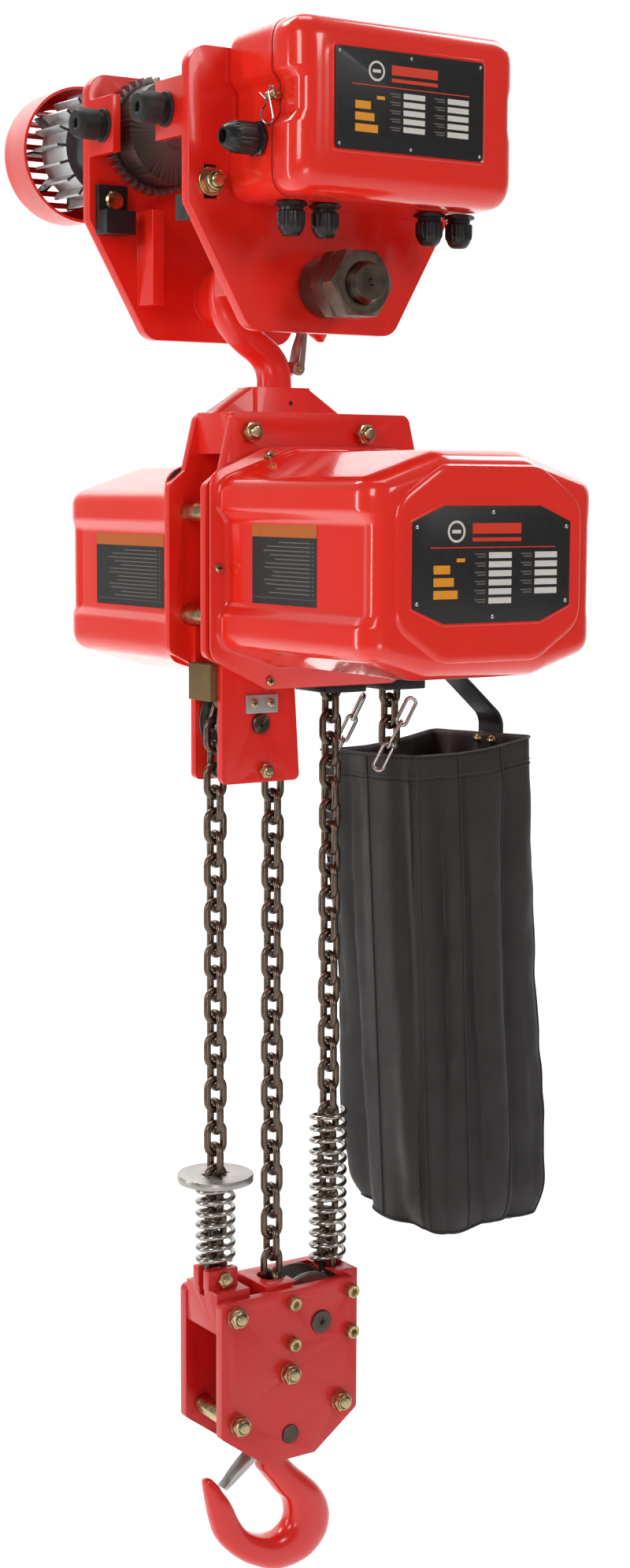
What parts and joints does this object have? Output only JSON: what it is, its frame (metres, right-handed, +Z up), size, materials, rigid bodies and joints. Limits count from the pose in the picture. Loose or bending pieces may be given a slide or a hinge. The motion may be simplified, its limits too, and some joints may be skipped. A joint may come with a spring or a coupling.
{
  "type": "electric chain hoist",
  "caption": "Electric chain hoist on a motor-driven beam trolley, with a swivel hook, three chain falls, a hook block with a latched hook and a cloth chain bag.",
  "frame": {"origin": "middle of the beam's lower flange, on the surface that the trolley's wheels run on, midway between the wheels", "axes": "+X along the beam towards the chain bag, +Y across the beam towards the travel motor, +Z up"},
  "size_m": [0.456, 0.5392, 1.4263],
  "materials": {
    "red_enamel": "gloss",
    "dark_red_enamel": "gloss",
    "cover_enamel": "gloss",
    "black_oxide": "satin",
    "black_paint": "satin",
    "yellow_zinc": "satin",
    "chain_steel": "satin",
    "bright_steel": "satin",
    "galvanised": "satin",
    "gear_steel": "satin",
    "cast_guide": "rough",
    "motor_iron": "rough",
    "wheel_iron": "satin",
    "rubber": "matt",
    "gland_plastic": "matt",
    "device_plastic": "matt",
    "seal_rubber": "matt",
    "bag_cloth": "woven",
    "housing_aluminium": "cast"
  },
  "bodies": {
    "trolley": {"front_side_plate": "red_enamel", "rear_side_plate": "red_enamel", "rubber_buffers": "rubber", "suspension_shaft": "black_oxide", "shaft_collars": "red_enamel", "shaft_nuts": "black_oxide", "flange_guards": "black_paint", "guard_bolts": "yellow_zinc", "wheel_axles": "gear_steel", "travel_gearmotor": "motor_iron", "motor_fan_cover": "red_enamel", "control_box_shell": "cover_enamel", "control_box_seal": "seal_rubber", "control_box_cover": "cover_enamel", "control_contactors": "device_plastic", "cable_glands": "gland_plastic"},
    "wheel_front_left": {"wheel_front_left": "wheel_iron"},
    "wheel_front_right": {"wheel_front_right": "wheel_iron"},
    "wheel_rear_left": {"wheel_rear_left": "wheel_iron"},
    "wheel_rear_right": {"wheel_rear_right": "wheel_iron"},
    "travel_pinion": {"drive_pinion": "gear_steel"},
    "suspension_hook": {"top_hook": "red_enamel"},
    "suspension_latch": {"top_latch": "galvanised"},
    "hoist": {"hook_yoke": "red_enamel", "frame_front_plate": "red_enamel", "frame_rear_plate": "red_enamel", "frame_tie_bolts": "yellow_zinc", "front_cover": "cover_enamel", "rear_cover": "cover_enamel", "cover_gaskets": "seal_rubber", "cover_screws": "yellow_zinc", "motor_stator": "motor_iron", "gearbox_case": "housing_aluminium", "electrics_panel": "device_plastic", "lower_bracket": "red_enamel", "idler_axle": "galvanised", "chain_guides": "cast_guide", "left_fall": "chain_steel", "middle_fall": "chain_steel", "right_fall": "chain_steel", "upper_chain": "chain_steel", "chain_bag": "bag_cloth", "bag_hangers": "black_paint"},
    "load_wheel": {"load_sheave": "gear_steel"},
    "layshaft": {"layshaft_gear": "gear_steel"},
    "clutch_hub": {"clutch_pinion": "gear_steel"},
    "rotor": {"motor_rotor": "motor_iron"},
    "idler": {"idler_sheave": "gear_steel"},
    "hook_block": {"block_plates": "dark_red_enamel", "block_bolts": "yellow_zinc", "anchor_block": "black_paint", "chain_guide_blocks": "black_paint", "sheave_axle": "black_oxide", "limit_springs": "bright_steel", "limit_disc": "bright_steel", "lower_chain_bend": "chain_steel"},
    "block_wheel": {"block_sheave": "gear_steel"},
    "trunnion": {"hook_trunnion": "black_oxide"},
    "load_hook": {"lower_hook": "dark_red_enamel"},
    "load_latch": {"lower_latch": "galvanised"}
  },
  "joints": [
    {"name": "wheel_front_left_spin", "type": "hinge", "parent": "trolley", "child": "wheel_front_left", "pos_m": [-0.07, -0.06, 0.045], "axis": [0, 1, 0], "continuous": true},
    {"name": "wheel_rear_left_spin", "type": "hinge", "parent": "trolley", "child": "wheel_rear_left", "pos_m": [-0.07, 0.06, 0.045], "axis": [0, 1, 0], "continuous": true},
    {"name": "wheel_front_right_spin", "type": "hinge", "parent": "trolley", "child": "wheel_front_right", "pos_m": [0.07, -0.06, 0.045], "axis": [0, 1, 0], "continuous": true},
    {"name": "wheel_rear_right_spin", "type": "hinge", "parent": "trolley", "child": "wheel_rear_right", "pos_m": [0.07, 0.06, 0.045], "axis": [0, 1, 0], "continuous": true},
    {"name": "travel_drive", "type": "hinge", "parent": "trolley", "child": "travel_pinion", "pos_m": [0, 0.08, 0.07193], "axis": [0, 1, 0], "continuous": true},
    {"name": "hook_swing", "type": "hinge", "parent": "trolley", "child": "suspension_hook", "pos_m": [0, 0, -0.097], "axis": [0, 1, 0], "range_deg": [-12, 12]},
    {"name": "suspension_latch_hinge", "type": "hinge", "parent": "suspension_hook", "child": "suspension_latch", "pos_m": [0.031, 0, -0.162], "axis": [0, 1, 0], "range_deg": [-35, 0], "stiffness_Nm_per_rad": 0.15, "springref_deg": 22.92},
    {"name": "hoist_swivel", "type": "hinge", "parent": "suspension_hook", "child": "hoist", "pos_m": [0.0094, 0, -0.2], "axis": [0, 0, 1], "continuous": true},
    {"name": "lift", "type": "slide", "parent": "hoist", "child": "hook_block", "axis": [0, 0, 1], "range_m": [0, 0.336], "deforming": ["left_fall", "middle_fall", "right_fall"]},
    {"name": "load_wheel_spin", "type": "hinge", "parent": "hoist", "child": "load_wheel", "pos_m": [0.1079, 0, -0.341], "axis": [0, 1, 0], "continuous": true},
    {"name": "layshaft_spin", "type": "hinge", "parent": "hoist", "child": "layshaft", "pos_m": [0.0519, 0, -0.341], "axis": [0, 1, 0], "continuous": true},
    {"name": "clutch_hub_spin", "type": "hinge", "parent": "hoist", "child": "clutch_hub", "pos_m": [0.0039, 0, -0.341], "axis": [0, 1, 0], "continuous": true},
    {"name": "rotor_spin", "type": "hinge", "parent": "hoist", "child": "rotor", "pos_m": [0.0039, 0, -0.341], "axis": [0, 1, 0], "continuous": true},
    {"name": "idler_spin", "type": "hinge", "parent": "hoist", "child": "idler", "pos_m": [-0.0218, 0, -0.483], "axis": [0, 1, 0], "continuous": true},
    {"name": "block_wheel_spin", "type": "hinge", "parent": "hook_block", "child": "block_wheel", "pos_m": [0.0416, 0, -1.057], "axis": [0, 1, 0], "continuous": true},
    {"name": "trunnion_tilt", "type": "hinge", "parent": "hook_block", "child": "trunnion", "pos_m": [0.007, 0, -1.161], "axis": [0, 1, 0], "range_deg": [-25, 25]},
    {"name": "hook_turn", "type": "hinge", "parent": "trunnion", "child": "load_hook", "pos_m": [0.007, 0, -1.161], "axis": [0, 0, 1], "continuous": true},
    {"name": "load_latch_hinge", "type": "hinge", "parent": "load_hook", "child": "load_latch", "pos_m": [-0.013, 0, -1.186], "axis": [0, 1, 0], "range_deg": [-35, 0], "stiffness_Nm_per_rad": 0.15, "springref_deg": 22.92}
  ],
  "couplings": [
    {"joint": "wheel_rear_left_spin", "follows": "travel_drive", "ratio": -0.5},
    {"joint": "wheel_rear_right_spin", "follows": "travel_drive", "ratio": -0.5},
    {"joint": "load_wheel_spin", "follows": "lift", "rad_per_m": 87.719},
    {"joint": "layshaft_spin", "follows": "lift", "rad_per_m": -219.3},
    {"joint": "clutch_hub_spin", "follows": "lift", "rad_per_m": 657.89},
    {"joint": "idler_spin", "follows": "lift", "rad_per_m": 32.051},
    {"joint": "block_wheel_spin", "follows": "lift", "rad_per_m": -62.208}
  ]
}
